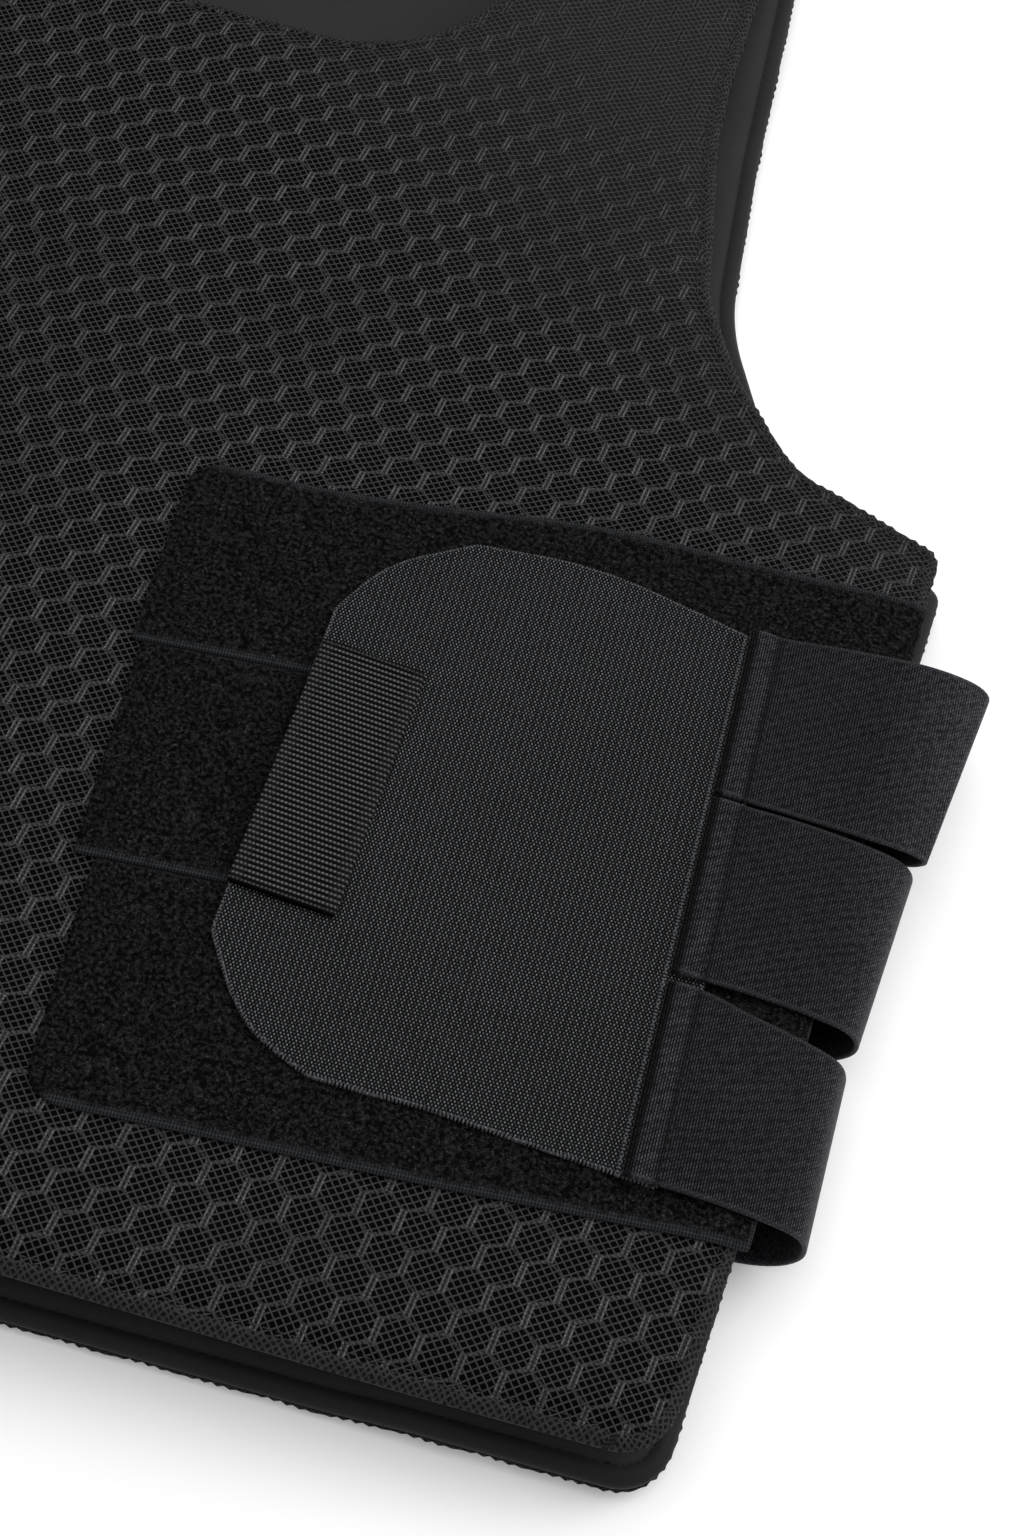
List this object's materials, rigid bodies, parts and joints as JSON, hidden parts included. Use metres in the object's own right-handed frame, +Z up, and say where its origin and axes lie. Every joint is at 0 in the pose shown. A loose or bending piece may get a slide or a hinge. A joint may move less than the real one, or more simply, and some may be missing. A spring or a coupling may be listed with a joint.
{
  "type": "stab vest",
  "caption": "Stab vest lying on its back: padded front and back panels in hexagon mesh, joined by shoulder straps and by side closures of loop strips, a hook patch and elastic straps.",
  "frame": {"origin": "on the floor under the middle of the vest's bounding box", "axes": "+Z up out of the front panel's face, +Y from the hem to the neck, +X to the wearer's left"},
  "size_m": [0.494, 0.52, 0.0408],
  "materials": {
    "mesh": "black spacer mesh knitted in hexagons",
    "lining": "smooth black lining over the padded pack",
    "loop": "black looped pile",
    "patch": "dark grey pebbled weave, the back of the hook tape",
    "webbing": "dark ribbed webbing",
    "elastic": "black knitted elastic with fine ribs"
  },
  "bodies": {
    "root": {"front_mesh": "mesh", "front_panel": "lining", "back_mesh": "mesh", "back_panel": "lining", "loop_strip_left_1": "loop", "loop_strip_left_2": "loop", "loop_strip_left_3": "loop", "loop_strip_right_1": "loop", "loop_strip_right_2": "loop", "loop_strip_right_3": "loop", "hook_patch_left": "patch", "hook_patch_right": "patch", "pull_tab_left": "webbing", "pull_tab_right": "webbing", "side_strap_left_1": "elastic", "side_strap_left_2": "elastic", "side_strap_left_3": "elastic", "side_strap_right_1": "elastic", "side_strap_right_2": "elastic", "side_strap_right_3": "elastic", "shoulder_strap_left": "elastic", "shoulder_strap_right": "elastic"}
  },
  "joints": []
}
